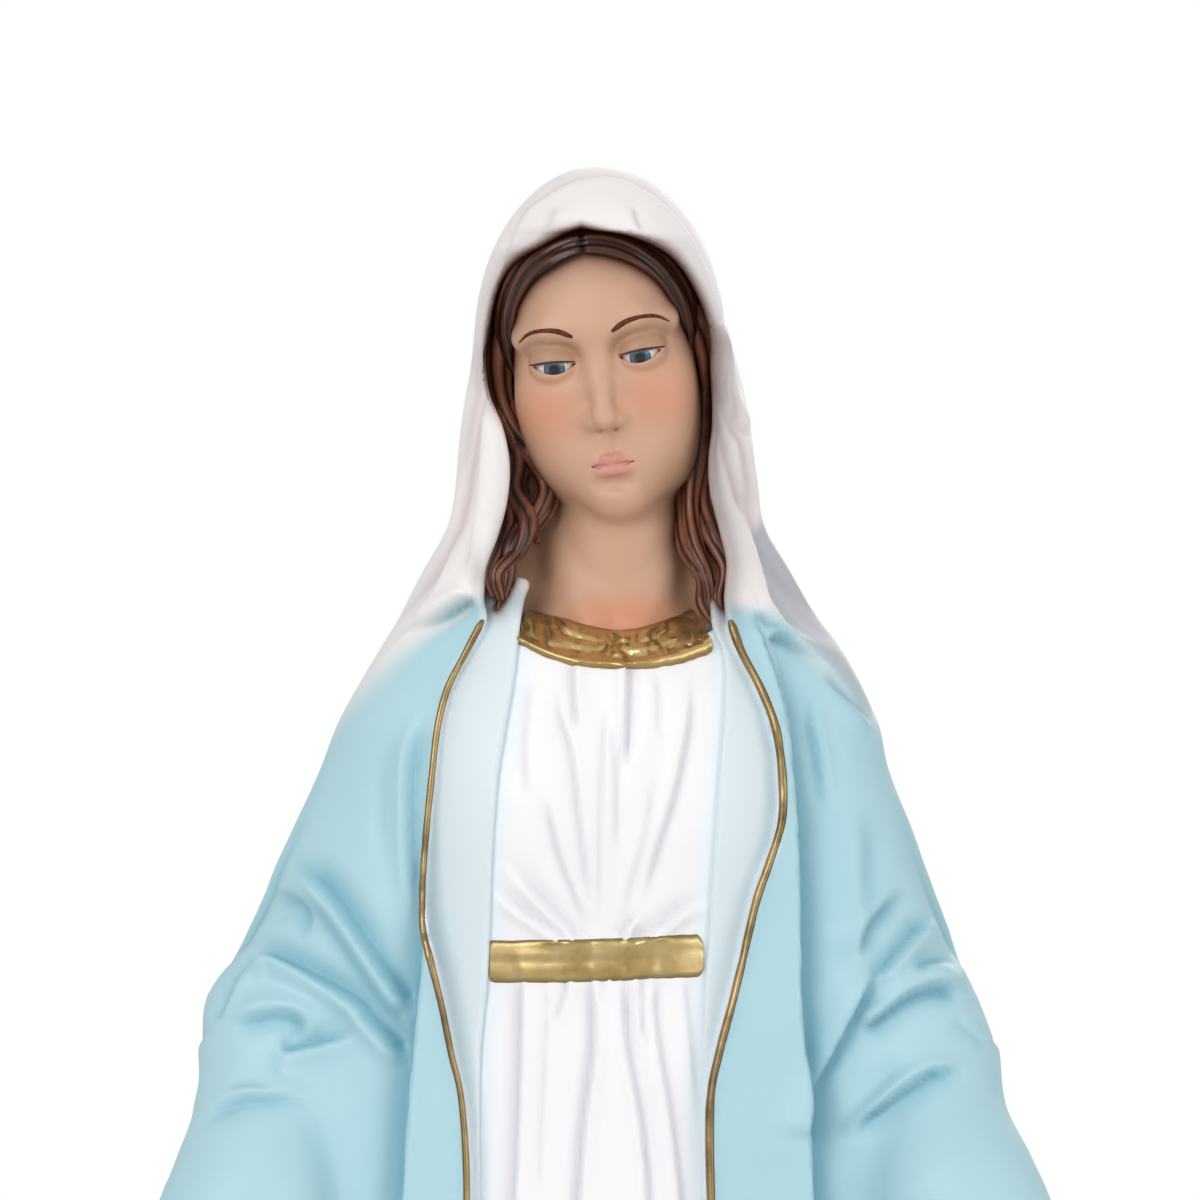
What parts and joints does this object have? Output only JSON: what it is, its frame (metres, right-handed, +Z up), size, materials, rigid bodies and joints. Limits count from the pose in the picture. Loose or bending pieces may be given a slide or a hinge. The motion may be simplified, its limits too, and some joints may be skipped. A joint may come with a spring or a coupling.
{
  "type": "devotional statue",
  "caption": "Standing veiled woman with lowered open hands, in a white gown and pale blue mantle with gilded edges, on a half globe and an octagonal plinth; stands on a shelf or pedestal.",
  "frame": {"origin": "centre of the underside of the felt pad, where the statue rests", "axes": "+Z up along the figure, the figure faces -Y, +X is the figure's left side and the viewer's right"},
  "size_m": [0.3406, 0.2106, 0.7995],
  "materials": {
    "gown_white": "satin white paint on resin",
    "veil_white": "warm white satin paint on resin, airbrushed",
    "mantle_blue": "satin pale blue paint on resin, airbrushed",
    "flesh": "airbrushed skin tone, satin",
    "hair_brown": "dark brown paint, semi-gloss",
    "eye_glass": "polished, blue iris",
    "gilding": "gold leaf paint over low relief, metallic",
    "globe_paint": "sky blue with soft clouds, satin",
    "serpent_paint": "mottled green, semi-gloss",
    "plinth_paint": "ivory satin paint",
    "board_wood": "bare plywood",
    "steel": "zinc plated",
    "felt": "green felt"
  },
  "bodies": {
    "root": {"felt_pad": "felt", "base_board": "board_wood", "plinth": "plinth_paint", "base_screw_1": "steel", "base_screw_2": "steel", "base_screw_3": "steel", "base_screw_4": "steel", "rod_washer": "steel", "rod_nut": "steel", "armature_rod": "steel", "rod_spacer_upper": "board_wood", "rod_spacer_lower": "board_wood", "globe": "globe_paint", "serpent": "serpent_paint", "gown": "gown_white", "foot_left": "flesh", "foot_right": "flesh", "girdle": "gilding", "collar": "gilding", "mantle_trim_left": "gilding", "mantle_trim_right": "gilding", "mantle": "mantle_blue", "veil": "veil_white", "cuff_left": "gown_white", "cuff_right": "gown_white", "hand_left": "flesh", "hand_right": "flesh", "hand_dowel_left": "steel", "hand_dowel_right": "steel", "head": "flesh", "eye_left": "eye_glass", "eye_right": "eye_glass", "hair_left": "hair_brown", "hair_right": "hair_brown"}
  },
  "joints": []
}
